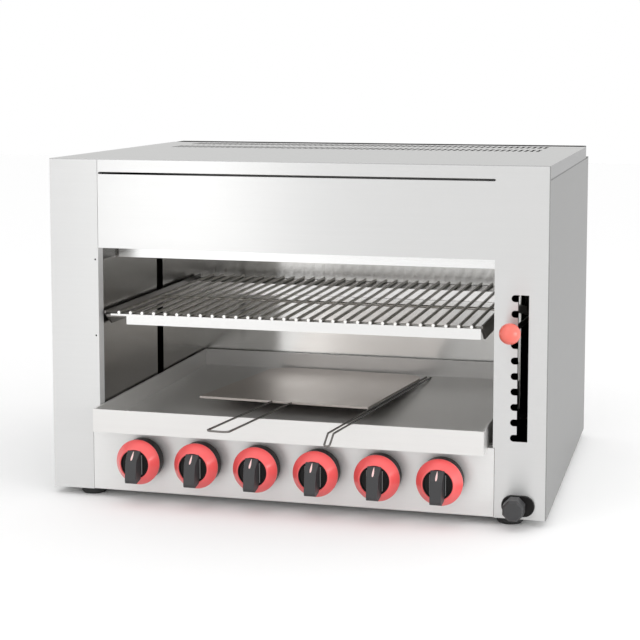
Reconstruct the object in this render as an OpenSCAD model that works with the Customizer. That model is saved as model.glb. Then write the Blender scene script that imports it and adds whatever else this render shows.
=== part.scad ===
// Gas cheese melter (salamander grill) with six infrared burners, a height-adjustable
// rack on a notched side lever, a pull-out drip tray, a loose plate and a wire lifter.
// Millimetres, +Z up, +X to the user's right, -Y towards the user.
// The origin is on the surface it stands on, under the middle of the whole part: the plate's
// wire loop reaches out in front of the casing, so the casing stands a little behind it.

/* [Casing] */
// Width of the casing
casing_w = 800; // [780:5:820]
// Depth of the casing
casing_d = 630; // [625:5:645]
// Height of the casing without its feet
casing_h = 536; // [530:1:545]
// Thickness of the stainless sheet
sheet = 1.2; // [1:0.1:1.4]
// Width of each front column
column_w = 81.5; // [79:0.5:83]
// Height of the control panel
control_h = 107; // [106:0.5:108]
// Height of the hood above the cooking opening, top strip included
hood_h = 142; // [138:1:146]
// Depth of the cooking chamber
chamber_d = 527; // [522:1:535]
// Height of the rubber feet
foot_h = 12; // [8:1:16]
// Diameter of the rubber feet
foot_d = 41; // [36:1:44]

/* [Top cover] */
// Height of the cover's side skirt
skirt_h = 20; // [18:1:24]
// Depth of the open flue behind the cover
flue_d = 48; // [40:1:52]
// Vent slots in each row
vent_count = 65; // [21:2:65]
// Rows of vent slots
vent_rows = 2; // [1:1:2]

/* [Knobs] */
// Number of burners, each with its own tap and knob
burner_count = 6; // [6]
// Distance between neighbouring knobs
knob_pitch = 97; // [96:0.5:99]
// Largest diameter of a knob's coloured ring
knob_d = 72; // [66:1:74]

/* [Rack and lever] */
// Distance between two notches of the lever slot
notch_pitch = 23.6; // [23:0.1:24]
// Number of notches
notch_count = 10; // [10]
// Notch that holds the lever, counted from the top
notch_now = 3; // [2:1:4]
// Number of long wires in the rack
wire_count = 30; // [24:1:30]
// Thickness of the rack wires
wire_d = 5; // [4:0.5:5.5]
// Diameter of the ball on the lever
ball_d = 32; // [28:1:34]

/* [Tray, plate and lifter] */
// Width of the drip tray
tray_w = 626; // [620:1:630]
// Height of the tray's walls
tray_wall = 32; // [28:1:34]
// How far the tray stands out of the casing
tray_reach = 36; // [30:1:40]
// Width of the loose plate
plate_w = 292; // [280:1:296]
// Length of the loose plate
plate_l = 392; // [380:1:400]
// Length of the plate's wire loop in front of the plate
loop_l = 292; // [270:1:300]

/* [Hidden] */
$fn = 72;

// Main planes of the casing
casing_y = 78;                       // middle of the casing, behind the origin
front = casing_y - casing_d / 2;
rear = casing_y + casing_d / 2;
side = casing_w / 2;
base = foot_h;
top = foot_h + casing_h;
mouth = side - column_w;             // half the width of the cooking opening
hood_bottom = top - hood_h;
control_top = base + control_h;
chamber_rear = front + chamber_d;
cover_rear = rear - flue_d;
seam = 0.6;                          // visible joint between neighbouring sheets
fold = 12;                           // narrow folds along the side panels
column_fold = 20;                    // returns beside the opening
past = 1;                            // how far a cutting tool runs past a face

// Control panel ends: it laps over the left column and stops at the right one
control_left = -mouth - 11.5;
control_right = mouth + 2.1;

// Vent slot under the top strip
strip_h = 20.5;
slot_h = 3.6;

// Cover vents, rows of long slots across the rear
vent_pitch = 10.4;
vent_w = 5.5;
vent_l = 62;
vent_row_pitch = 110;
vent_y = cover_rear - 191;           // front edge of the first row

// Heat deflector lip and burner shelf
lip_y = front + 83;
lip_bottom = hood_bottom - 24;
shelf_z = hood_bottom - 10;
wall_in = mouth + sheet;             // inner faces of the chamber's side walls
wall_top = shelf_z + 104;
wall_back = 90;                      // lower edge of the chamber's rear wall
slide_y = casing_y - 33;             // line of the slots that the rack's arms pass through
slide_w = 30;
slide_low = 118;
slide_high = 372;

// Lever slot in the right column
notch_r = 5.3;
notch_seat = mouth + 31;             // where the lever's axis rests in a notch
lever_slot = [mouth + 35.7, mouth + 52];
notch_top = base + 336.8;
lever_z = notch_top - (notch_now - 1) * notch_pitch;
pivot_x = mouth + 47.5;
lever_d = 8;
ball_reach = 38;                     // ball's centre in front of the column

// Rack
rack_x = -3;                         // the rack sits a little left of the middle
rack_top = lever_z - 3;
rack_front = front + 12;
rack_rear = front + 483;
rack_half = 300;
rail_h = 16.5;
lip_w = 15;
rear_face = front + 410;             // the rear rail's upright face
rear_face_h = 19;
arm_left = 311;                      // inner faces of the side arms
arm_right = rack_x + rack_half;
arm_t = 3;
arm_top = rack_top + wire_d - 0.5;
arm_low = rack_top - 20;
wire_front = rack_front - 1;
wire_rear = rack_rear + 7.5;         // the wires run on past the last cross wire
wire_pitch = 571 / (wire_count - 1);
cross_y = [front + 31, front + 225, rack_rear + 4];
guide_x = mouth + 23.5;
guide_d = 12;
sleeve_d = 26;
sleeve_h = 40;

// Tray
ledge_z = 120;
tray_x = -3;
tray_t = 1;
hem = 3;                             // width of the folded hem round the rim
tray_left = tray_x - tray_w / 2;
tray_right = tray_x + tray_w / 2;
tray_front = front - tray_reach;
tray_rear = chamber_rear - 7;
tray_top = ledge_z + tray_wall;
apron_low = control_top - 4;

// Plate and lifter lean on the tray's front edge and touch its floor at the back
plate_t = 3.5;
loop_d = 3.2;
loop_w = 34;
loop_x = -2;                         // the loop stands a little left of the plate's middle
rest_gap = 0.1;
plate_turn = -2.8;
plate_end = [-27, front + 508];      // middle of the plate's rear edge
plate_tilt = atan((tray_top - ledge_z - tray_t - (plate_t - loop_d) / 2) / (plate_end.y - tray_front - hem));
lifter_d = 3;
lifter_w = 8.5;
lifter_end = [126, front + 496];
lifter_turn = -2.4;
lifter_tilt = atan((tray_top - ledge_z - tray_t) / (lifter_end.y - tray_front - hem));

// Burners, taps and pipes
burner_w = 94;
burner_l = 300;
burner_y = front + 115;              // front end of each burner
plaque = [86, 135, 12];
mixer_z = shelf_z + 26;
mixer_end = chamber_rear + 10;
tap_z = base + 57;
manifold_y = front + 29;
manifold_z = base + 28;
manifold_d = 21.3;
inlet_x = 290;
inlet_d = 20.9;
riser_y = chamber_rear + 40;
bend_r = 20;
plug_d = 16;
spindle_d = 8;
run_fit = 0.1;                       // on the diameter of every running fit

// Knob stations, measured out from the control panel
knob_back = 5;
knob_step = 28;
knob_face = 46;

// Igniter
igniter = [mouth + 39.3, base + 21.2];
button_x = mouth + 35.5;
button_d = 34;
button_travel = 4;

steel = "gainsboro";
dark_steel = "dimgray";

function burner_x(i) = (i - (burner_count + 1) / 2) * knob_pitch;

// Left-hand normal of the run from a to b
function left_of(a, b) = let (d = b - a) [-d.y, d.x] / norm(d);

// A path moved to its left by t, with mitred corners
function beside(path, t) = [
    for (i = [0 : len(path) - 1])
        let (
            last = len(path) - 1,
            before = left_of(path[max(i - 1, 0)], path[max(i, 1)]),
            after = left_of(path[min(i, last - 1)], path[min(i + 1, last)]),
            mitre = before + after
        )
        path[i] + mitre * (2 * t / (mitre * mitre))
];

// Cross-section of a folded sheet whose outer skin follows the path
module folded(path, t = sheet) {
    inner = beside(path, t);
    polygon(concat(path, [for (i = [len(path) - 1 : -1 : 0]) inner[i]]));
}

// Extrusions along the three axes; the drawing's axes become Y,Z or X,Z or X,Y
module along_x(from, to) {
    translate([from, 0, 0])
        rotate([90, 0, 90])
            linear_extrude(to - from) children();
}

module along_y(from, to) {
    translate([0, to, 0])
        rotate([90, 0, 0])
            linear_extrude(to - from) children();
}

module along_z(from, to) {
    translate([0, 0, from])
        linear_extrude(to - from) children();
}

module block(low, high) {
    translate(low)
        cube(high - low);
}

// A flat rectangle between two corners
module field(low, high) {
    translate(low)
        square(high - low);
}

// A slot with round ends between two points
module long_slot(a, b, w) {
    run = b - a;
    translate(a) {
        circle(d = w);
        rotate(atan2(run.y, run.x))
            translate([0, -w / 2])
                square([norm(run), w]);
    }
    translate(b)
        circle(d = w);
}

module both_sides() {
    children();
    mirror([1, 0, 0]) children();
}

// Stands a turned part on the front panel: its axis points at the user
module on_front(x, z) {
    translate([x, front, z])
        rotate([90, 0, 0]) children();
}

// ---------------------------------------------------------------- casing

module side_panel() {
    along_z(base, top - skirt_h)
        folded([
            [side - fold, front + sheet], [side, front + sheet],
            [side, rear], [side - fold, rear]
        ]);
}

module left_side_panel() {
    color(steel)
        mirror([1, 0, 0]) side_panel();
}

module right_side_panel() {
    color(steel)
        side_panel();
}

module left_column() {
    color(steel)
        difference() {
            along_z(base, top - sheet)
                folded([[-side, front], [-mouth, front], [-mouth, front + column_fold]]);
            // step that the end of the control panel fills
            block(
                [control_left - seam, front - past, base - past],
                [-mouth + past, front + column_fold + past, control_top + seam]
            );
            // two small latch holes near the edge
            on_front(-mouth - 5, hood_bottom - 19) cylinder(d = 3, h = 8, center = true);
            on_front(-mouth - 5, hood_bottom - 142) cylinder(d = 3, h = 8, center = true);
        }
}

// Slot for the lever, with a round-ended notch for each height of the rack
module lever_slot_shape() {
    lowest = notch_top - (notch_count - 1) * notch_pitch;
    field([lever_slot[0], lowest - notch_r], [lever_slot[1], notch_top + notch_r]);
    for (i = [0 : notch_count - 1])
        translate([0, notch_top - i * notch_pitch]) {
            translate([notch_seat, 0])
                circle(r = notch_r);
            field([notch_seat, -notch_r], [lever_slot[0] + past, notch_r]);
        }
}

module front_face() {
    slot_z = top - strip_h - slot_h / 2;
    slot_end = mouth - slot_h / 2;
    difference() {
        polygon([
            [-mouth + seam, top - sheet], [side, top - sheet], [side, base],
            [control_right + seam, base], [control_right + seam, control_top + seam],
            [mouth, control_top + seam], [mouth, hood_bottom], [-mouth + seam, hood_bottom]
        ]);
        long_slot([-slot_end + 2, slot_z], [slot_end, slot_z], slot_h);
        lever_slot_shape();
        translate(igniter)
            circle(d = 22);
    }
}

module front_panel() {
    color(steel) {
        along_y(front, front + sheet) front_face();
        // hood underside, folded back to the heat deflector
        block([-mouth + seam, front + sheet, hood_bottom], [mouth, lip_y + sheet, hood_bottom + sheet]);
        // fold under the cover
        block([-mouth + seam, front + sheet, top - 2 * sheet], [side - sheet, front + 15, top - sheet]);
        // return beside the opening
        block(
            [mouth, front + sheet, control_top + seam],
            [mouth + sheet, front + column_fold, hood_bottom + sheet]
        );
    }
}

module control_panel() {
    color(steel)
        difference() {
            along_x(control_left, control_right)
                folded([
                    [front + column_fold + 2, control_top], [front, control_top],
                    [front, base + sheet], [front + column_fold + 2, base + sheet]
                ]);
            for (i = [1 : burner_count])
                on_front(burner_x(i), tap_z) cylinder(d = 11, h = 8, center = true);
        }
}

module top_cover() {
    color(steel)
        difference() {
            union() {
                along_y(front, cover_rear)
                    folded([
                        [side, top - skirt_h], [side, top], [-side, top], [-side, top - skirt_h]
                    ]);
                block(
                    [-side + sheet, cover_rear - sheet, top - skirt_h],
                    [side - sheet, cover_rear, top - sheet]
                );
            }
            // room for the front sheets under the cover's front edge
            block([-side - past, front - past, top - skirt_h - past], [side + past, front + sheet, top - sheet]);
            along_z(top - skirt_h / 2, top + past)
                for (row = [0 : vent_rows - 1], i = [0 : vent_count - 1]) {
                    x = (i - (vent_count - 1) / 2) * vent_pitch;
                    y = vent_y + row * vent_row_pitch;
                    long_slot([x, y], [x, y + vent_l - vent_w], vent_w);
                }
        }
}

module back_panel() {
    color(steel)
        difference() {
            along_x(-side + sheet, side - sheet)
                folded([
                    [rear - sheet, base], [rear - sheet, top - skirt_h], [cover_rear - 5, top - skirt_h]
                ]);
            // air slots level with the burners' mixing tubes
            along_y(rear - 4 * sheet, rear + past)
                for (i = [-11 : 11])
                    long_slot([i * 30, shelf_z + 10], [i * 30, shelf_z + 60], 8);
            // openings under the flue
            for (i = [-2.5 : 2.5])
                block(
                    [i * 124 - 50, cover_rear + 6, top - skirt_h - 3 * sheet],
                    [i * 124 + 50, rear - 8, top - skirt_h + past]
                );
            on_front(inlet_x, manifold_z) translate([0, 0, -casing_d - past]) cylinder(d = 36, h = 10);
        }
}

// Dark open channel behind the cover that lets the burnt gas out
module rear_flue() {
    low = top - skirt_h;
    back_y = rear - 3 * sheet;
    end_x = side - 4;
    color("black")
        difference() {
            union() {
                along_x(-end_x, end_x)
                    folded([
                        [cover_rear, top], [cover_rear, low], [back_y, low], [back_y, top]
                    ]);
                both_sides()
                    block([end_x - sheet, cover_rear, low], [end_x, back_y, top]);
            }
            for (i = [-22 : 22])
                block(
                    [i * 16.5 - 5, cover_rear + 10, low - past],
                    [i * 16.5 + 5, back_y - 10, low + sheet + past]
                );
        }
}

module base_pan() {
    color(steel)
        difference() {
            along_y(front + 2 * sheet, rear - 2 * sheet)
                folded([
                    [-side + sheet, base + fold], [-side + sheet, base],
                    [side - sheet, base], [side - sheet, base + fold]
                ]);
            // cooling slots under the taps
            along_z(base - past, base + 2 * sheet)
                for (i = [-9 : 9])
                    long_slot([i * 28, front + 70], [i * 28, front + 120], 6);
        }
}

module inner_wall() {
    color("silver") {
        along_x(wall_in, wall_in + sheet)
            difference() {
                field([front + sheet, base + sheet], [chamber_rear + sheet, wall_top]);
                // room for the control panel
                field([front, base], [front + column_fold + 4, control_top + seam]);
                field([slide_y - slide_w / 2, slide_low], [slide_y + slide_w / 2, slide_high]);
            }
        // ledge that the tray slides on
        along_y(front + column_fold + 5, chamber_rear - 5)
            folded([[wall_in, ledge_z - 15], [wall_in, ledge_z], [wall_in - 20, ledge_z]]);
    }
}

module inner_left_wall() {
    mirror([1, 0, 0]) inner_wall();
}

module inner_right_wall() {
    inner_wall();
}

module inner_back_wall() {
    color("silver")
        block([-wall_in, chamber_rear, wall_back], [wall_in, chamber_rear + sheet, shelf_z]);
}

module burner_shelf() {
    window = [plaque.x - 4, 2 * plaque.y - 4];
    color("white") {
        along_z(shelf_z, shelf_z + sheet)
            difference() {
                field([-wall_in, lip_y + sheet], [wall_in, chamber_rear + sheet]);
                for (i = [1 : burner_count])
                    translate([burner_x(i), burner_y + burner_l / 2])
                        square(window, center = true);
            }
        // lip that hangs behind the hood
        block([-mouth + 2, lip_y, lip_bottom], [mouth - 2, lip_y + sheet, hood_bottom]);
    }
}

module heat_shield() {
    color("silver")
        along_y(lip_y, chamber_rear)
            folded([
                [wall_in + 14, wall_top - 15], [wall_in + 14, wall_top + sheet],
                [-wall_in - 14, wall_top + sheet], [-wall_in - 14, wall_top - 15]
            ]);
}

// ---------------------------------------------------------------- burners and gas

// Hat-shaped burner box with a trumpet-ended mixing tube at the back
module burner(i) {
    low = shelf_z + sheet;
    half = burner_w / 2;
    tube_r = 13;
    tube_l = mixer_end - burner_y - burner_l;
    color("lightslategray")
        translate([burner_x(i), 0, 0])
            difference() {
                union() {
                    along_y(burner_y, burner_y + burner_l)
                        polygon([
                            [-half, low], [half, low], [half, low + 3], [half - 2, low + 3],
                            [half - 9, low + 46], [9 - half, low + 46], [2 - half, low + 3], [-half, low + 3]
                        ]);
                    translate([0, burner_y + burner_l, mixer_z])
                        rotate([-90, 0, 0])
                            rotate_extrude()
                                polygon([
                                    [0, -past], [tube_r, -past], [tube_r, tube_l - 25],
                                    [tube_r + 6, tube_l], [0, tube_l]
                                ]);
                }
                block(
                    [-plaque.x / 2, burner_y + 14, low - past],
                    [plaque.x / 2, burner_y + burner_l - 14, low + 18]
                );
                // mixing bore
                translate([0, burner_y + burner_l - 30, mixer_z])
                    rotate([-90, 0, 0])
                        cylinder(r = tube_r - 2, h = tube_l + 30 + past);
            }
}

module burner_1() { burner(1); }
module burner_2() { burner(2); }
module burner_3() { burner(3); }
module burner_4() { burner(4); }
module burner_5() { burner(5); }
module burner_6() { burner(6); }

module burner_plaques() {
    middle = burner_y + burner_l / 2;
    color("moccasin")
        for (i = [1 : burner_count], end = [-1, 1])
            translate([burner_x(i), middle + end * (plaque.y / 2 + 0.5), shelf_z + sheet + plaque.z / 2])
                cube(plaque, center = true);
}

// Flat wire guard under each burner
module burner_guards() {
    outer = [burner_w, burner_l - 10];
    bar = 2.5;
    color("silver")
        for (i = [1 : burner_count])
            translate([burner_x(i), burner_y + burner_l / 2, 0])
                along_z(shelf_z - bar, shelf_z) {
                    difference() {
                        square(outer, center = true);
                        square(outer - [8, 8], center = true);
                    }
                    for (x = [-28, 0, 28])
                        translate([x, 0])
                            square([bar, outer.y - 2], center = true);
                    for (k = [-4 : 4])
                        translate([0, k * 29])
                            square([outer.x - 2, bar], center = true);
                }
}

// Supply tube under the taps, with an elbow to the inlet at the back
module gas_manifold() {
    turn = 26;
    left_end = burner_x(1) - 25;
    color("goldenrod") {
        translate([left_end, manifold_y, manifold_z])
            rotate([0, 90, 0])
                cylinder(d = manifold_d, h = inlet_x - turn - left_end);
        translate([inlet_x - turn, manifold_y + turn, manifold_z])
            rotate([0, 0, -90])
                rotate_extrude(angle = 90)
                    translate([turn, 0])
                        circle(d = manifold_d);
        translate([inlet_x, manifold_y + turn, manifold_z])
            rotate([-90, 0, 0])
                cylinder(d = manifold_d, h = rear - 30 - manifold_y - turn);
    }
}

module gas_taps() {
    chamber = [front + 13, front + 43];
    color("darkgoldenrod")
        for (i = [1 : burner_count])
            difference() {
                union() {
                    on_front(burner_x(i), tap_z) {
                        translate([0, 0, -13]) cylinder(d = 22, h = 13 - sheet);
                        translate([0, 0, -45]) cylinder(d = 30, h = 32);
                        translate([0, 0, -58]) cylinder(d = 16, h = 13, $fn = 6);
                    }
                    translate([burner_x(i), manifold_y, manifold_z])
                        cylinder(d = 18, h = tap_z - manifold_z);
                }
                on_front(burner_x(i), tap_z) {
                    translate([0, 0, -20]) cylinder(d = spindle_d + run_fit, h = 21);
                    translate([0, 0, -43]) cylinder(d = plug_d + run_fit, h = chamber[1] - chamber[0]);
                }
                translate([burner_x(i) - 20, manifold_y, manifold_z])
                    rotate([0, 90, 0])
                        cylinder(d = manifold_d, h = 40);
            }
}

// A tube in the plane x = 0: back under the tray, up behind the chamber, forward again
module riser(d, low_z, high_z, start_y, back_y, end_y) {
    translate([0, start_y, low_z])
        rotate([-90, 0, 0])
            cylinder(d = d, h = back_y - bend_r - start_y);
    translate([0, back_y - bend_r, low_z + bend_r])
        rotate([90, 0, 90])
            rotate_extrude(angle = -90)
                translate([bend_r, 0])
                    circle(d = d);
    translate([0, back_y, low_z + bend_r])
        cylinder(d = d, h = high_z - low_z - 2 * bend_r);
    translate([0, back_y - bend_r, high_z - bend_r])
        rotate([90, 0, 90])
            rotate_extrude(angle = 90)
                translate([bend_r, 0])
                    circle(d = d);
    translate([0, end_y, high_z])
        rotate([-90, 0, 0])
            cylinder(d = d, h = back_y - bend_r - end_y);
}

// Gas pipes with an injector that blows into each mixing tube
module burner_pipes() {
    color("peru")
        for (i = [1 : burner_count])
            translate([burner_x(i), 0, 0]) {
                riser(8, tap_z, mixer_z, front + 58, riser_y, mixer_end + 10);
                translate([0, mixer_end + 2, mixer_z])
                    rotate([-90, 0, 0])
                        rotate_extrude()
                            polygon([[0, 0], [2, 0], [3, 4], [6.5, 4], [6.5, 14], [0, 14]]);
            }
}

// Flame sensors: a thin lead from each tap to the back of its burner
module thermocouples() {
    sensor_z = shelf_z + 12;
    color("chocolate")
        for (i = [1 : burner_count])
            translate([burner_x(i) + 30, 0, 0]) {
                riser(3, tap_z - 12, sensor_z, front + 50, riser_y - 12, burner_y + burner_l);
                // arm that the tap carries it by
                translate([-30, front + 45, tap_z - 12 - 1.5])
                    cube([31.5, 8, 3]);
            }
}

module gas_inlet() {
    color("darkgoldenrod")
        on_front(inlet_x, manifold_z)
            translate([0, 0, -casing_d]) {
                translate([0, 0, -1]) cylinder(d = 34, h = 31, $fn = 6);
                translate([0, 0, -19]) cylinder(d = inlet_d, h = 19);
            }
}

// ---------------------------------------------------------------- igniter

module igniter_housing() {
    flange = 5;
    ear = 9.2;
    color("black")
        on_front(igniter.x, igniter.y)
            difference() {
                union() {
                    linear_extrude(flange)
                        long_slot([-ear, 0], [ear, 0], 31.5);
                    translate([0, 0, -60]) cylinder(d = 21, h = 61);
                    translate([0, 0, -64]) cylinder(d = 30, h = 40);
                }
                translate([button_x - igniter.x, 0, -30])
                    cylinder(d = 10 + run_fit, h = 40);
            }
}

module igniter_button() {
    gap = 5 + button_travel + 0.6;
    depth = 26;
    color("dimgray")
        on_front(button_x, igniter.y) {
            translate([0, 0, gap])
                rotate(22.5) {
                    cylinder(d = button_d, h = depth - 3, $fn = 8);
                    translate([0, 0, depth - 3])
                        cylinder(d1 = button_d, d2 = button_d - 6, h = 3, $fn = 8);
                }
            translate([0, 0, -20]) cylinder(d = 10, h = 20 + gap + past);
        }
}

// ---------------------------------------------------------------- feet, screws, guides

module feet() {
    color("black")
        both_sides()
            for (y = [front + 28.5, rear - 40])
                translate([side - 58, y, 0])
                    rotate_extrude()
                        polygon([
                            [0, 0], [foot_d / 2 - 2.5, 0], [foot_d / 2, 3], [foot_d / 2, foot_h - 2],
                            [foot_d / 2 - 1.5, foot_h], [0, foot_h]
                        ]);
}

// Dome-headed screws along the folds at the back
module casing_screws() {
    color("silver")
        both_sides()
            for (z = [base + 40 : 145 : top - 60])
                translate([side - 6.5, rear, z])
                    rotate([-90, 0, 0])
                        rotate_extrude()
                            polygon([[0, 0], [4, 0], [3.6, 1.4], [2, 2.4], [0, 2.7]]);
}

// Posts inside the columns that the rack's sleeves ride on
module lift_guides() {
    bracket = [slide_y - 13, slide_y + 13];
    outer = wall_in + sheet;
    color("silver")
        both_sides() {
            translate([guide_x, slide_y, 108])
                cylinder(d = guide_d, h = 280);
            along_y(bracket[0], bracket[1])
                folded([[guide_x + 10, 108], [outer, 108], [outer, 92]], 3);
            along_y(bracket[0], bracket[1])
                folded([[outer, 404], [outer, 388], [guide_x + 10, 388]], 3);
        }
}

// ---------------------------------------------------------------- rack

// Angle rails that the grid lies on, the front one with a deep bright face
module rack_rails() {
    x1 = rack_x - rack_half;
    x2 = rack_x + rack_half;
    cut_l = 27;                      // the front face starts this far in from the left end
    color("whitesmoke") {
        difference() {
            along_x(x1, x2)
                folded([
                    [rack_front + lip_w, rack_top], [rack_front, rack_top], [rack_front, rack_top - rail_h]
                ], 1.5);
            block(
                [x1 - past, rack_front - past, rack_top - rail_h - past],
                [x1 + cut_l, rack_front + 5, rack_top - 3]
            );
        }
        along_x(x1, x2)
            folded([
                [rack_rear, rack_top], [rear_face, rack_top], [rear_face, rack_top - rear_face_h],
                [rear_face - 5, rack_top - rear_face_h]
            ], 1.5);
    }
}

module rack_grid() {
    cross_z = rack_top - wire_d / 2 + 0.6;
    color("silver") {
        for (i = [0 : wire_count - 1])
            translate([rack_x + (i - (wire_count - 1) / 2) * wire_pitch, wire_front, rack_top + wire_d / 2])
                rotate([-90, 0, 0])
                    cylinder(d = wire_d, h = wire_rear - wire_front, $fn = 24);
        for (y = cross_y)
            translate([rack_x - rack_half + 3, y, cross_z])
                rotate([0, 90, 0])
                    cylinder(d = wire_d, h = 2 * rack_half - 6, $fn = 24);
    }
}

// Side arm, lug through the chamber wall and sleeve on the guide post
module rack_arm(at, tab_in) {
    tab_z = [rack_top - 5.5, rack_top - 1.5];
    along_x(at, at + arm_t)
        polygon([
            [rack_front, arm_top], [rack_rear, arm_top], [rack_rear, arm_top - 10],
            [slide_y + 60, arm_low], [rack_front + 27, arm_low], [rack_front, arm_top - 4]
        ]);
    // tabs under the rails
    block([tab_in, rack_front + 2, tab_z[0]], [at, rack_front + lip_w, tab_z[1]]);
    block([tab_in, rack_rear - 20, tab_z[0]], [at, rack_rear - 2, tab_z[1]]);
    // lug
    block([at + arm_t, slide_y - 10, rack_top - 14.5], [guide_x - 4, slide_y + 10, rack_top - 2.5]);
}

module sleeve() {
    difference() {
        union() {
            translate([guide_x, slide_y, lever_z - sleeve_h / 2])
                cylinder(d = sleeve_d, h = sleeve_h);
            children();
        }
        translate([guide_x, slide_y, lever_z - sleeve_h])
            cylinder(d = guide_d + run_fit, h = 2 * sleeve_h);
    }
}

module rack_arms() {
    fork_in = 6;
    fork_out = 10;
    color(dark_steel) {
        mirror([1, 0, 0])
            sleeve() rack_arm(arm_left, -rack_x + rack_half - 27);
        sleeve() {
            rack_arm(arm_right, arm_right - 6);
            // fork that holds the lever's pin
            for (level = [fork_in, -fork_out])
                difference() {
                    block(
                        [guide_x + 4, slide_y - 10, lever_z + level],
                        [pivot_x + 10, slide_y + 10, lever_z + level + fork_out - fork_in]
                    );
                    translate([pivot_x, slide_y, lever_z - 20])
                        cylinder(d = lever_d, h = 40);
                }
        }
    }
}

module lever_pivot() {
    color("silver")
        translate([pivot_x, slide_y, lever_z - 13]) {
            cylinder(d = lever_d, h = 23);
            translate([0, 0, 23]) cylinder(d = 13, h = 3);
            cylinder(d = 11, h = 3);
        }
}

// ---------------------------------------------------------------- lever

lever_turn = atan2(notch_seat - pivot_x, slide_y - front);
lever_run = (slide_y - front + ball_reach) / cos(lever_turn);

module on_lever() {
    translate([pivot_x, slide_y, lever_z])
        rotate([90, 0, lever_turn]) children();
}

module lever_arm() {
    color(dark_steel)
        difference() {
            union() {
                on_lever()
                    cylinder(d = lever_d, h = lever_run - 4);
                translate([pivot_x, slide_y, lever_z - 5])
                    cylinder(d = 18, h = 10);
            }
            translate([pivot_x, slide_y, lever_z - 10])
                cylinder(d = lever_d + run_fit, h = 20);
        }
}

module lever_ball() {
    color("tomato")
        difference() {
            on_lever()
                translate([0, 0, lever_run]) sphere(d = ball_d);
            on_lever()
                cylinder(d = lever_d, h = lever_run - 4);
        }
}

// ---------------------------------------------------------------- tray

module tray() {
    color("silver") {
        difference() {
            block([tray_left, tray_front, ledge_z], [tray_right, tray_rear, tray_top]);
            block(
                [tray_left + tray_t, tray_front + tray_t, ledge_z + tray_t],
                [tray_right - tray_t, tray_rear - tray_t, tray_top + past]
            );
        }
        // folded hem round the rim
        difference() {
            block([tray_left, tray_front, tray_top - 6], [tray_right, tray_rear, tray_top]);
            block(
                [tray_left + hem, tray_front + hem, tray_top - 6 - past],
                [tray_right - hem, tray_rear - hem, tray_top + past]
            );
        }
        // apron below the front wall, with a return at each end
        block([tray_left, tray_front, apron_low], [tray_right, tray_front + tray_t, ledge_z]);
        for (x = [tray_left, tray_right - tray_t])
            block([x, tray_front + tray_t, apron_low], [x + tray_t, front - 2, ledge_z]);
    }
}

// ---------------------------------------------------------------- plate and lifter

// Drawing frame of the plate: x across, y back to front, on the plane it leans in
module on_plate() {
    translate([plate_end.x, plate_end.y, ledge_z + tray_t + rest_gap])
        rotate([0, 0, plate_turn])
            rotate([-plate_tilt, 0, 0]) children();
}

module plate() {
    corner = 45;
    half = plate_w / 2;
    color("rosybrown")
        on_plate()
            linear_extrude(plate_t) {
                translate([-half, -plate_l])
                    square([plate_w, plate_l - corner]);
                translate([corner - half, -plate_l])
                    square([plate_w - 2 * corner, plate_l]);
                for (x = [corner - half, half - corner])
                    translate([x, -corner])
                        circle(r = corner);
            }
}

module plate_loop() {
    half = loop_w / 2;
    bend = 9;
    color(dark_steel)
        on_plate()
            translate([loop_x, -plate_l, plate_t / 2]) {
                for (x = [-half, half])
                    translate([x, -loop_l + bend, 0])
                        rotate([-90, 0, 0])
                            cylinder(d = loop_d, h = loop_l - bend, $fn = 24);
                for (corner = [[bend - half, 180], [half - bend, 270]])
                    translate([corner[0], -loop_l + bend, 0])
                        rotate([0, 0, corner[1]])
                            rotate_extrude(angle = 90)
                                translate([bend, 0])
                                    circle(d = loop_d, $fn = 24);
                translate([bend - half, -loop_l, 0])
                    rotate([0, 90, 0])
                        cylinder(d = loop_d, h = 2 * (half - bend), $fn = 24);
            }
}

// Long hairpin of wire, its closed end bent down as a grip
module lifter() {
    r = lifter_w / 2;
    run = lifter_end.y - tray_front;
    reach = 98;                      // straight wire in front of the tray's edge
    grip = 20;
    bend = asin(0.6);
    bend_at = 5;
    color(dark_steel)
        translate([lifter_end.x, lifter_end.y, ledge_z + tray_t + rest_gap + lifter_d / 2])
            rotate([0, 0, lifter_turn])
                rotate([-lifter_tilt, 0, 0]) {
                    for (x = [-r, r])
                        translate([x, -run - reach, 0])
                            rotate([-90, 0, 0])
                                cylinder(d = lifter_d, h = run + reach, $fn = 24);
                    translate([0, -run - reach, -bend_at]) {
                        for (x = [-r, r])
                            translate([x, 0, 0])
                                rotate([90, 0, 90])
                                    rotate([0, 0, 90])
                                        rotate_extrude(angle = bend)
                                            translate([bend_at, 0])
                                                circle(d = lifter_d, $fn = 24);
                        rotate([bend, 0, 0])
                            translate([0, 0, bend_at]) {
                                for (x = [-r, r])
                                    translate([x, -grip, 0])
                                        rotate([-90, 0, 0])
                                            cylinder(d = lifter_d, h = grip, $fn = 24);
                                translate([0, -grip, 0])
                                    rotate([0, 0, 180])
                                        rotate_extrude(angle = 180)
                                            translate([r, 0])
                                                circle(d = lifter_d, $fn = 24);
                            }
                    }
                }
}

// ---------------------------------------------------------------- taps and knobs

module spindle_shape(d) {
    difference() {
        circle(d = d);
        translate([-d, d * 0.375])
            square([2 * d, d]);
    }
}

// Turning plug of a gas tap, with its flatted spindle
module tap_plug(i) {
    flat_from = 0;
    spindle_end = 34;
    color("goldenrod")
        on_front(burner_x(i), tap_z) {
            translate([0, 0, -42]) cylinder(d = plug_d, h = 28);
            translate([0, 0, -15]) cylinder(d = spindle_d, h = 15 + flat_from);
            translate([0, 0, flat_from])
                linear_extrude(spindle_end - flat_from) spindle_shape(spindle_d);
        }
}

module tap_plug_1() { tap_plug(1); }
module tap_plug_2() { tap_plug(2); }
module tap_plug_3() { tap_plug(3); }
module tap_plug_4() { tap_plug(4); }
module tap_plug_5() { tap_plug(5); }
module tap_plug_6() { tap_plug(6); }

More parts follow.
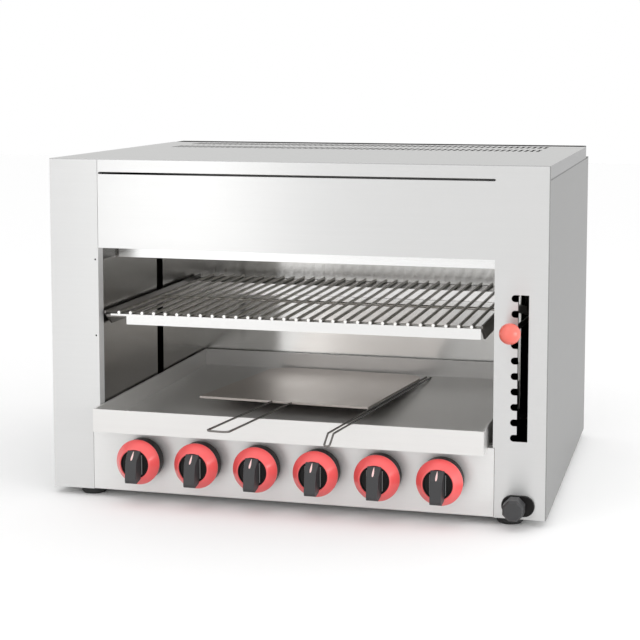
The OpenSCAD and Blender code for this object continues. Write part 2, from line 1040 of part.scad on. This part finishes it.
// Grip: a wedge in side view that hangs over the ring at the bottom, with tapering sides
module knob_grip() {
    root = knob_face + 0.3;
    intersection() {
        rotate([90, 0, 90])
            translate([0, 0, -15])
                linear_extrude(30)
                    polygon([
                        [19, knob_face - 1], [19, root], [22.6, root], [22, 47.5], [9, 61],
                        [-22, 66.5], [-26, 65], [-27.5, 60], [-23, root], [-19, root],
                        [-19, knob_face - 1]
                    ]);
        rotate([90, 0, 0])
            translate([0, 0, -60])
                linear_extrude(120)
                    polygon([
                        [-11, knob_face - 1], [11, knob_face - 1], [7.6, 63], [6.4, 70],
                        [-6.4, 70], [-7.6, 63]
                    ]);
    }
}

module knob(i) {
    color("black")
        on_front(burner_x(i), tap_z)
            difference() {
                union() {
                    rotate_extrude()
                        polygon([
                            [0, knob_back], [knob_d / 2 - 3, knob_back], [knob_d / 2 - 2, knob_back + 1],
                            [knob_d / 2 - 2, knob_step], [23, knob_step], [23, knob_face - 1],
                            [22, knob_face], [0, knob_face]
                        ]);
                    knob_grip();
                }
                linear_extrude(40) spindle_shape(spindle_d + run_fit);
            }
}

module knob_1() { knob(1); }
module knob_2() { knob(2); }
module knob_3() { knob(3); }
module knob_4() { knob(4); }
module knob_5() { knob(5); }
module knob_6() { knob(6); }

// Coloured bevel ring pressed over the knob's core
module knob_ring(i) {
    inner = 23.1;
    color("crimson")
        on_front(burner_x(i), tap_z)
            rotate_extrude()
                polygon([
                    [inner, knob_step], [knob_d / 2, knob_step], [knob_d / 2, knob_step + 3],
                    [25.5, knob_face - 0.6], [24.5, knob_face], [inner, knob_face]
                ]);
}

module knob_ring_1() { knob_ring(1); }
module knob_ring_2() { knob_ring(2); }
module knob_ring_3() { knob_ring(3); }
module knob_ring_4() { knob_ring(4); }
module knob_ring_5() { knob_ring(5); }
module knob_ring_6() { knob_ring(6); }

left_side_panel();
right_side_panel();
left_column();
front_panel();
control_panel();
top_cover();
back_panel();
rear_flue();
base_pan();
inner_left_wall();
inner_right_wall();
inner_back_wall();
burner_shelf();
heat_shield();
burner_1();
burner_2();
burner_3();
burner_4();
burner_5();
burner_6();
burner_plaques();
burner_guards();
gas_manifold();
gas_taps();
burner_pipes();
thermocouples();
gas_inlet();
igniter_housing();
feet();
casing_screws();
lift_guides();
rack_rails();
rack_grid();
rack_arms();
lever_pivot();
lever_arm();
lever_ball();
tray();
plate();
plate_loop();
lifter();
tap_plug_1();
tap_plug_2();
tap_plug_3();
tap_plug_4();
tap_plug_5();
tap_plug_6();
knob_1();
knob_2();
knob_3();
knob_4();
knob_5();
knob_6();
knob_ring_1();
knob_ring_2();
knob_ring_3();
knob_ring_4();
knob_ring_5();
knob_ring_6();
igniter_button();
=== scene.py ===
import math
import bmesh
import bpy
from mathutils import Matrix, Vector


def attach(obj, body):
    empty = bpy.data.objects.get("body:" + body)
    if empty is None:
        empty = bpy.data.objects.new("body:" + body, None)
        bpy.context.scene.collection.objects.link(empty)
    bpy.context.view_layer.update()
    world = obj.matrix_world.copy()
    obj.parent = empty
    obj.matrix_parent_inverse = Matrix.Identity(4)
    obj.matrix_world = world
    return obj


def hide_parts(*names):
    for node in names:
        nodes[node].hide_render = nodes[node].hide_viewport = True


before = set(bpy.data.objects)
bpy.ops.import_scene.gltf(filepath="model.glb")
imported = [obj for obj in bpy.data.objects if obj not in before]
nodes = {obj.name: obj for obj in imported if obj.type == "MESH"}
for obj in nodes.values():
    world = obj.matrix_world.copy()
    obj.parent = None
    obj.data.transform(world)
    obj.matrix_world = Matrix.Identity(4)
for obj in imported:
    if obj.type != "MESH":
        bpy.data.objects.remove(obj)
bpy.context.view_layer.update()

scene = bpy.context.scene

# casing faces, in metres
front, side = -0.237, 0.400
base, top = 0.012, 0.548


# shader maths

class Sock:
    # an output socket that can be used in plain arithmetic
    def __init__(self, shader, out):
        self.shader = shader
        self.out = out

    def math(self, op, other=0.0, clamp=False):
        return self.shader.node("ShaderNodeMath", {"operation": op, "use_clamp": clamp},
                                {0: self, 1: other})

    def __add__(self, other): return self.math("ADD", other)
    def __radd__(self, other): return self.math("ADD", other)
    def __sub__(self, other): return self.math("SUBTRACT", other)
    def __mul__(self, other): return self.math("MULTIPLY", other)
    def __abs__(self): return self.math("ABSOLUTE")
    def __gt__(self, other): return self.math("GREATER_THAN", other)

    def clamped(self): return self.math("ADD", 0.0, clamp=True)

    def ramp(self, low, high, a=0.0, b=1.0):
        values = {"Value": self, "From Min": low, "From Max": high, "To Min": a, "To Max": b}
        return self.shader.node("ShaderNodeMapRange", {"interpolation_type": "SMOOTHSTEP"},
                                values, "Result")

    def mix(self, a, b):
        return self.shader.mix(self, a, b)


class Shader:
    def __init__(self, tree):
        self.tree = tree
        tree.nodes.clear()

    # any node: type, settings, then socket values or links
    def node(self, kind, settings=None, values=None, out=0):
        made = self.tree.nodes.new(kind)
        for key, value in (settings or {}).items():
            setattr(made, key, value)
        for key, value in (values or {}).items():
            socket = made.inputs[key]
            if isinstance(value, Sock):
                self.tree.links.new(value.out, socket)
            elif isinstance(value, tuple) and len(value) == 3 and len(socket.default_value) == 4:
                socket.default_value = (*value, 1.0)
            else:
                socket.default_value = value
        if isinstance(out, (tuple, list)):
            return [Sock(self, made.outputs[name]) for name in out]
        return Sock(self, made.outputs[out]) if len(made.outputs) else made

    def mix(self, factor, a, b):
        return self.node("ShaderNodeMix", {"data_type": "RGBA"}, {0: factor, 6: a, 7: b}, 2)

    def place(self, scale=(1, 1, 1)):
        coords = self.node("ShaderNodeTexCoord", out="Object")
        return self.node("ShaderNodeMapping", None, {"Vector": coords, "Scale": scale})

    def xyz(self, kind="Object"):
        coords = self.node("ShaderNodeTexCoord", out=kind)
        return self.node("ShaderNodeSeparateXYZ", None, {"Vector": coords}, ("X", "Y", "Z"))

    # 1 for what the camera sees itself, in metal or through glass
    def seen(self):
        camera, glossy, through = self.node(
            "ShaderNodeLightPath", out=("Is Camera Ray", "Is Glossy Ray", "Is Transmission Ray"))
        return (camera + glossy + through).clamped()

    def noise(self, scale, detail=3.0, stretch=(1, 1, 1), rough=0.55):
        values = {"Vector": self.place(stretch), "Scale": scale, "Detail": detail,
                  "Roughness": rough}
        return self.node("ShaderNodeTexNoise", None, values, "Fac")

    def bump(self, height, strength, distance):
        values = {"Height": height, "Strength": strength, "Distance": distance}
        return self.node("ShaderNodeBump", None, values, "Normal")

    def surface(self, values):
        shader = self.node("ShaderNodeBsdfPrincipled", None, values)
        self.node("ShaderNodeOutputMaterial", None, {"Surface": shader})


def newMaterial(name):
    mat = bpy.data.materials.new(name)
    mat.use_nodes = True
    return mat, Shader(mat.node_tree)


def scaled(tone, factor):
    return tuple(min(1.0, c * factor) for c in tone)


# metals

def brushed(name, tone, rough, along, depth=0.00004, cloud=0.06, metallic=1.0, spread=0.0,
            flankShade=None, insideShade=0, edge=1.0, seamShadow=None):
    # fine grinding lines along one axis, with faint clouds from the rolling mill
    mat, sh = newMaterial(name)
    line = 900.0
    stretch = [0.012 if axis == along else 1.0 for axis in "xyz"]
    lines = sh.noise(line, 4.0, stretch, 0.7)
    broad = sh.noise(line * 0.16, 3.0, stretch, 0.6)
    clouds = sh.noise(3.2, 2.0)
    grain = lines * 0.6 + broad * 0.4
    shade = (grain - 0.5) * 0.22 + (clouds - 0.5) * cloud
    colour = (shade + 0.5).clamped().mix(scaled(tone, 0.80), scaled(tone, 1.16))
    roughness = (grain - 0.5) * 0.16 + (clouds - 0.5) * 0.10 + rough
    if flankShade:
        # upright faces of a sheet that mostly lies flat take a darker colour: painted shade
        colour = abs(sh.xyz("Normal")[2]).ramp(0.3, 0.7).mix(flankShade, colour)
    if seamShadow:
        # painted shadow line along the sheet's edge where it meets the next part: axis number and
        # where it begins
        colour = (sh.xyz()[seamShadow[0]] > seamShadow[1]).mix(colour, scaled(tone, 0.45))
    if insideShade:
        # the side that faces into the casing is painted near-black as shade, and made rougher: 1
        # for the chamber's walls, -1 for the casing's own
        away = (sh.xyz()[0] * sh.xyz("Normal")[0] * float(insideShade)).ramp(0.02, 0.10)
        colour = away.mix(colour, (0.05, 0.048, 0.045))
        roughness = away * 0.4 + roughness
    sh.surface({
        "Base Color": colour,
        "Metallic": metallic,
        "Roughness": roughness,
        "Specular Tint": (edge, edge, edge),
        "Anisotropic": spread,
        "Anisotropic Rotation": 0.25,
        "Normal": sh.bump(grain, 0.35, depth),
    })
    return mat


print("materials: metals")
# how far from the part's middle, or how high, the painted shadow line along a sheet's edge begins
sideSeam = (0, side - 0.0016)
coverSeam = (2, top - 0.0222)
shelfSeam = (2, 0.3845)

steelFront = brushed("steel_front", (0.71, 0.71, 0.705), 0.36, "x", cloud=0.16, spread=0.9,
                     seamShadow=sideSeam)
steelPanel = brushed("steel_panel", (0.82, 0.82, 0.81), 0.36, "x", 0.00003, 0.12, metallic=0.55)
steelColumn = brushed("steel_column", (0.71, 0.71, 0.705), 0.36, "x", cloud=0.20, metallic=0.4,
                      spread=0.9)
# a darker copy of the front steel: painted shade for sides that reflect a darker part of the room
steelSideShaded = brushed("steel_side_shaded", (0.60, 0.60, 0.595), 0.40, "y", cloud=0.12, spread=0.6,
                    insideShade=-1, edge=0.55, seamShadow=coverSeam)
# the top cover's upright skirt takes the darker flank colour as painted shade
steelTop = brushed("steel_top", (0.67, 0.67, 0.66), 0.36, "x", cloud=0.08,
                   flankShade=(0.44, 0.44, 0.44), edge=0.75)
steelBack = brushed("steel_back", (0.88, 0.87, 0.85), 0.16, "x", 0.000001, 0.06, spread=1.0)
steelWall = brushed("steel_wall", (0.58, 0.57, 0.55), 0.24, "y", 0.00003, 0.26, spread=0.8,
                    insideShade=1, edge=0.3, seamShadow=shelfSeam)
steelSoot = brushed("steel_soot", (0.10, 0.095, 0.09), 0.50, "x", cloud=0.4, metallic=0.6)
steelShelf = brushed("steel_shelf", (0.88, 0.875, 0.865), 0.28, "x")
steelRail = brushed("steel_rail", (0.80, 0.795, 0.785), 0.22, "x")
steelRack = brushed("steel_rack", (0.74, 0.73, 0.71), 0.28, "x")
steelTray = brushed("steel_tray", (0.78, 0.77, 0.755), 0.34, "x", 0.00002, 0.16, metallic=0.6)
steelDark = brushed("steel_dark", (0.20, 0.19, 0.18), 0.42, "y")
steelPlate = brushed("steel_plate", (0.74, 0.68, 0.64), 0.36, "y", 0.00002, 0.16)
steelBurner = brushed("steel_burner", (0.30, 0.32, 0.35), 0.40, "y")
brass = brushed("brass", (0.72, 0.52, 0.24), 0.26, "y")
copper = brushed("copper", (0.74, 0.40, 0.24), 0.28, "y")


def wireSteel():
    # drawn wire: brown in patches, and the front wire ends painted near-white as a painted
    # highlight
    mat, sh = newMaterial("steel_wire")
    stain = sh.noise(46.0, 3.0)
    fine = sh.noise(700.0, 2.0, (1, 0.05, 1))
    tipStart, tipEnd = front + 0.0145, front + 0.0195
    tipGlint = sh.xyz()[1].ramp(tipStart, tipEnd, 1.0, 0.0)
    body = stain.ramp(0.35, 0.7).mix((0.34, 0.32, 0.29), (0.52, 0.50, 0.47))
    sh.surface({
        "Base Color": tipGlint.mix(body, (0.90, 0.89, 0.86)),
        "Metallic": 1.0,
        "Roughness": stain * 0.2 + 0.22,
        "Normal": sh.bump(fine, 0.3, 0.00005),
    })
    return mat


def blackSheet():
    mat, sh = newMaterial("flue_black")
    speck = sh.noise(900.0, 3.0)
    dust = sh.noise(14.0, 3.0)
    sh.surface({
        "Base Color": dust.mix((0.012, 0.012, 0.013), (0.035, 0.034, 0.033)),
        "Roughness": dust * 0.2 + 0.45,
        "Normal": sh.bump(speck, 0.4, 0.0001),
    })
    return mat


def ceramic():
    # porous plaque with rows of tiny flame holes
    mat, sh = newMaterial("plaque")
    spots = sh.node("ShaderNodeTexVoronoi", {"feature": "F1"},
                    {"Vector": sh.place(), "Scale": 420.0, "Randomness": 0.15}, "Distance")
    holes = spots.ramp(0.22, 0.38)
    age = sh.noise(24.0, 3.0)
    clay = age.mix((0.72, 0.62, 0.46), (0.86, 0.80, 0.68))
    sh.surface({
        # the flame holes are painted near-black: painted shade inside them
        "Base Color": holes.mix((0.08, 0.06, 0.05), clay),
        "Roughness": 0.85,
        "Normal": sh.bump(holes, 0.7, 0.0006),
    })
    return mat


def plastic(name, tone, rough, coat=0.0, tint=0.12, gloss=0.5):
    # moulded plastic with fine pores and faint wear
    mat, sh = newMaterial(name)
    pores = sh.noise(1500.0, 2.0)
    wear = sh.noise(38.0, 4.0)
    values = {
        "Base Color": wear.mix(scaled(tone, 1 - tint), scaled(tone, 1 + tint)),
        "Roughness": (wear - 0.5) * 0.14 + rough,
        "Specular IOR Level": gloss,
        "Normal": sh.bump(pores, 0.22, 0.00008),
    }
    if coat:
        values["Coat Weight"] = coat
        values["Coat Roughness"] = 0.12
    sh.surface(values)
    return mat


wire = wireSteel()
flueBlack = blackSheet()
plaque = ceramic()

print("materials: plastics")
knobBlack = plastic("knob_black", (0.034, 0.034, 0.036), 0.40)
# a darker copy of the knob plastic: painted shade on the knob cores; the igniter housing uses it
# too
shadedBlack = plastic("shaded_black", (0.010, 0.009, 0.009), 0.45, gloss=0.18)
capGrey = plastic("cap_grey", (0.052, 0.052, 0.054), 0.40, gloss=0.35)
# pale grey on the black knob: a painted highlight along the grip's feet
ribHighlight = plastic("rib_highlight", (0.17, 0.17, 0.17), 0.35)
rubber = plastic("rubber", (0.018, 0.018, 0.018), 0.70, 0.0, 0.3)
ringRed = plastic("ring_red", (0.92, 0.115, 0.115), 0.34, 0.5, 0.05)
ballRed = plastic("ball_red", (0.90, 0.17, 0.13), 0.30, 0.4, 0.05)
markWhite = plastic("mark_white", (0.95, 0.62, 0.60), 0.5)

finishes = {
    steelFront: ["front_panel"],
    steelPanel: ["control_panel"],
    steelColumn: ["left_column"],
    steelSideShaded: ["left_side_panel", "right_side_panel", "back_panel"],
    steelTop: ["top_cover", "base_pan"],
    steelBack: ["inner_back_wall"],
    steelWall: ["inner_left_wall", "inner_right_wall"],
    steelSoot: ["heat_shield", "lift_guides"],
    steelShelf: ["burner_shelf"],
    steelRail: ["rack_rails"],
    steelRack: ["burner_guards", "casing_screws", "lever_pivot"],
    wire: ["rack_grid"],
    steelTray: ["tray"],
    steelDark: ["rack_arms", "lever_arm", "plate_loop", "lifter"],
    steelPlate: ["plate"],
    flueBlack: ["rear_flue"],
    steelBurner: ["burner_%d" % i for i in range(1, 7)],
    plaque: ["burner_plaques"],
    brass: ["gas_manifold", "gas_taps", "gas_inlet"]
           + ["tap_plug_%d" % i for i in range(1, 7)],
    copper: ["burner_pipes", "thermocouples"],
    rubber: ["feet"],
    knobBlack: ["knob_%d" % i for i in range(1, 7)],
    shadedBlack: ["igniter_housing"],
    capGrey: ["igniter_button"],
    ringRed: ["knob_ring_%d" % i for i in range(1, 7)],
    ballRed: ["lever_ball"],
}
for mat, names in finishes.items():
    for name in names:
        obj = nodes[name]
        obj.data.materials.clear()
        obj.data.materials.append(mat)


# mesh helpers

def addPiece(name, mesh, mat, body):
    obj = bpy.data.objects.new(name, mesh)
    scene.collection.objects.link(obj)
    mesh.materials.append(mat)
    for poly in mesh.polygons:
        poly.use_smooth = True
    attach(obj, body)
    return obj


def bevel(obj, width, segments):
    mod = obj.modifiers.new("edges", "BEVEL")
    mod.width = width
    mod.segments = segments
    mod.limit_method = "ANGLE"
    mod.angle_limit = math.radians(28)
    mod.harden_normals = True


def takeMesh(bm, name):
    mesh = bpy.data.meshes.new(name)
    bm.to_mesh(mesh)
    bm.free()
    return mesh


def filleted(points, steps=5):
    # (u, v, radius) corners become arcs
    out = []
    count = len(points)
    for i, (u, v, radius) in enumerate(points):
        here = Vector((u, v))
        if not radius:
            out.append(here)
            continue
        before = Vector(points[(i - 1) % count][:2]) - here
        after = Vector(points[(i + 1) % count][:2]) - here
        half = before.angle(after) / 2
        reach = min(radius / math.tan(half), before.length * 0.49, after.length * 0.49)
        radius = reach * math.tan(half)
        inwards = (before.normalized() + after.normalized()).normalized()
        centre = here + inwards * (radius / math.sin(half))
        start = here + before.normalized() * reach - centre
        end = here + after.normalized() * reach - centre
        turn = start.angle_signed(end)
        for k in range(steps + 1):
            t = -turn * k / steps
            out.append(centre + Matrix.Rotation(t, 2) @ start)
    return out


def revolve(name, profile, segments=96, closed=False):
    # profile of (radius, height) turned round the local Z axis
    bm = bmesh.new()
    rings = []
    for radius, height in profile:
        if radius < 1e-7:
            rings.append([bm.verts.new((0, 0, height))])
        else:
            angles = [2 * math.pi * k / segments for k in range(segments)]
            rings.append([bm.verts.new((radius * math.cos(a), radius * math.sin(a), height))
                          for a in angles])
    pairs = list(zip(rings, rings[1:]))
    if closed:
        pairs.append((rings[-1], rings[0]))
    for a, b in pairs:
        for k in range(segments):
            n = (k + 1) % segments
            loop = [a[k % len(a)], a[n % len(a)], b[n % len(b)], b[k % len(b)]]
            loop = [v for i, v in enumerate(loop) if v not in loop[:i]]
            if len(loop) > 2:
                bm.faces.new(loop)
    bmesh.ops.recalc_face_normals(bm, faces=bm.faces)
    return takeMesh(bm, name)


# turns local Z to point at the user, and local Y to point up
towardsUser = Matrix(((1, 0, 0, 0), (0, 0, -1, 0), (0, 1, 0, 0), (0, 0, 0, 1)))


def standOnFront(mesh, x, z):
    mesh.transform(Matrix.Translation((x, front, z)) @ towardsUser)


# knobs

knob = {
    "pitch": 0.097, "z": base + 0.057,
    "back": 0.005, "step": 0.028, "face": 0.046,
    "core": 0.034, "neck": 0.0229, "ring": 0.036, "ringHole": 0.0231,
    # side view of the grip: height above the axis, distance from the panel
    "grip": [(0.0190, 0.0445), (0.0190, 0.0464), (0.0225, 0.0464), (0.0219, 0.0476),
             (0.0090, 0.0609), (-0.0219, 0.0664), (-0.0259, 0.0649), (-0.0274, 0.0600),
             (-0.0229, 0.0464), (-0.0190, 0.0464), (-0.0190, 0.0445)],
    # half the grip's width at its root, and how much it loses per metre outwards
    "gripHalf": 0.0109, "gripRoot": 0.0450, "taper": 0.105,
    # ribs: distance from the middle, distance from the panel, and size
    "ribOff": 0.0121, "ribDepth": 0.0458, "ribSize": (0.0012, 0.031, 0.0028),
    # pointer: both ends like the grip's points, half widths there, and how far it stands proud
    "markLow": (0.0092, 0.0607), "markHigh": (0.0219, 0.0476),
    "markHalf": (0.0022, 0.0006), "markProud": 0.00015,
}


def gripWidth(depth):
    return knob["gripHalf"] - (depth - knob["gripRoot"]) * knob["taper"]


def knobCore(name):
    # a disc behind the ring, then a neck with a shallow dish in its face
    back, core, neck, face = knob["back"], knob["core"], knob["neck"], knob["face"]
    step = knob["step"] - 0.0003
    dish = face - 0.0016
    profile = filleted([
        (0.0, back, 0), (core, back, 0.0012), (core, step, 0.0006), (neck, step, 0),
        (neck, face, 0.0008), (0.0212, face, 0.0004), (0.0205, dish, 0.0008), (0.0, dish, 0)])
    return revolve(name, profile)


def knobRing(name):
    hole, ring, step = knob["ringHole"], knob["ring"], knob["step"]
    profile = filleted([
        (hole, step, 0.0003), (ring, step, 0.001), (ring, 0.0312, 0.0022),
        (0.0252, 0.0457, 0.0014), (hole, 0.0462, 0.0004)])
    return revolve(name, profile, closed=True)


def knobGrip(name):
    bm = bmesh.new()
    # more stations along the profile keep the taper smooth
    outline = []
    count = len(knob["grip"])
    for i in range(count):
        a, b = Vector(knob["grip"][i]), Vector(knob["grip"][(i + 1) % count])
        parts = max(1, round((b - a).length / 0.012)) if i < count - 1 else 4
        outline += [a.lerp(b, k / parts) for k in range(parts)]
    sides = []
    for sign in (-1, 1):
        sides.append([bm.verts.new((sign * gripWidth(p.y), p.x, p.y)) for p in outline])
    for k in range(len(outline)):
        n = (k + 1) % len(outline)
        bm.faces.new((sides[0][k], sides[1][k], sides[1][n], sides[0][n]))
    for verts in sides:
        bm.faces.new(verts)
    bmesh.ops.recalc_face_normals(bm, faces=bm.faces)
    return takeMesh(bm, name)


def knobRibs(name):
    # a low rib on the dial along each foot of the grip, pale grey on the black knob: a painted
    # highlight line
    bm = bmesh.new()
    for sign in (-1, 1):
        made = bmesh.ops.create_cube(bm, size=1.0)
        place = Matrix.Translation((sign * knob["ribOff"], 0.0, knob["ribDepth"]))
        bmesh.ops.transform(bm, verts=made["verts"],
                            matrix=place @ Matrix.Diagonal((*knob["ribSize"], 1.0)))
    return takeMesh(bm, name)


def knobMark(name):
    # drop-shaped pointer, just proud of the sloping top of the grip
    low, high = Vector(knob["markLow"]), Vector(knob["markHigh"])
    wide, narrow = knob["markHalf"]
    out = Vector(((high - low).y, -(high - low).x)).normalized() * -knob["markProud"]
    bm = bmesh.new()
    rim = []
    count = 28
    for k in range(count):
        a = 2 * math.pi * k / count
        t = (1 - math.cos(a)) / 2
        half = wide * (1 - t) + narrow * t
        point = low.lerp(high, 0.02 + 0.96 * t) + out
        rim.append(bm.verts.new((half * math.sin(a), point.x, point.y)))
    bm.faces.new(rim)
    bmesh.ops.recalc_face_normals(bm, faces=bm.faces)
    return takeMesh(bm, name)


print("knobs")
for i in range(1, 7):
    x = (i - 3.5) * knob["pitch"]
    body = "knob_%d" % i
    core = knobCore("knob_core_%d" % i)
    ring = knobRing("knob_bevel_%d" % i)
    grip = knobGrip("knob_grip_%d" % i)
    mark = knobMark("knob_mark_%d" % i)
    ribs = knobRibs("knob_ribs_%d" % i)
    for mesh in (core, ring, grip, mark, ribs):
        standOnFront(mesh, x, knob["z"])
    coreObj = addPiece(core.name, core, shadedBlack, body)
    bevel(addPiece(grip.name, grip, knobBlack, body), 0.0012, 3)
    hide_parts("knob_%d" % i)
    ringObj = addPiece(ring.name, ring, ringRed, body)
    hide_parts("knob_ring_%d" % i)
    addPiece(mark.name, mark, markWhite, body)
    bevel(addPiece(ribs.name, ribs, ribHighlight, body), 0.0004, 2)


# stage, light and camera

def makeStage():
    bm = bmesh.new()
    bmesh.ops.create_grid(bm, x_segments=1, y_segments=1, size=9.0)
    mesh = takeMesh(bm, "floor")
    floor = bpy.data.objects.new("floor", mesh)
    scene.collection.objects.link(floor)
    mat, sh = newMaterial("floor")
    # white where it is seen or mirrored, and the shadow stays
    colour = sh.seen().mix((0.80, 0.80, 0.80), (1.0, 1.0, 1.0))
    matt = sh.node("ShaderNodeBsdfDiffuse", None, {"Color": colour})
    sh.node("ShaderNodeOutputMaterial", None, {"Surface": matt})
    mesh.materials.append(mat)


def makeWorld():
    world = bpy.data.worlds.new("studio")
    scene.world = world
    world.use_nodes = True
    sh = Shader(world.node_tree)
    x, y, z = sh.xyz("Generated")
    # soft light, a little stronger from the right, the front and above
    level = 0.86 + x * 0.24 - y * 0.14 + z.ramp(-0.1, 0.9) * 0.16
    soft, white = (sh.node("ShaderNodeBackground", None, {"Color": (1.0, 1.0, 1.0), "Strength": s})
                   for s in (level, 1.0))
    both = sh.node("ShaderNodeMixShader", None, {0: sh.seen(), 1: soft, 2: white})
    sh.node("ShaderNodeOutputWorld", None, {"Surface": both})


def areaLight(name, place, target, size, power):
    data = bpy.data.lights.new(name, "AREA")
    data.shape = "RECTANGLE"
    data.size, data.size_y = size
    data.energy = power
    obj = bpy.data.objects.new(name, data)
    obj.location = place
    obj.rotation_euler = (Vector(target) - Vector(place)).to_track_quat("-Z", "Y").to_euler()
    scene.collection.objects.link(obj)


print("stage")
makeStage()
makeWorld()
# name, place, target, width and height, watts
areaLight("key", (-1.20, -3.0, 0.95), (0, 0, 0.3), (0.6, 1.8), 5)
areaLight("above", (-0.4, -1.6, 3.0), (0, 0, 0.3), (1.6, 1.2), 6)
areaLight("side", (2.6, -1.1, 0.55), (0, 0, 0.2), (1.5, 1.0), 18)

# camera: the lens shift keeps the verticals close to parallel
lens = bpy.data.cameras.new("camera")
lens.sensor_width = 36.0
lens.sensor_fit = "HORIZONTAL"
lens.lens = 87.82
lens.shift_y = -0.15
lens.clip_end = 40.0
cam = bpy.data.objects.new("camera", lens)
cam.location = (0.6520, -2.5445, 0.6909)
yaw, pitch = math.radians(14.662), math.radians(-5.689)
cam.rotation_euler = (math.pi / 2 + pitch, 0.0, yaw)
scene.collection.objects.link(cam)
scene.camera = cam

scene.view_settings.view_transform = "Standard"
scene.view_settings.look = "None"
scene.view_settings.exposure = 0.0
scene.view_settings.gamma = 1.0

print("done")
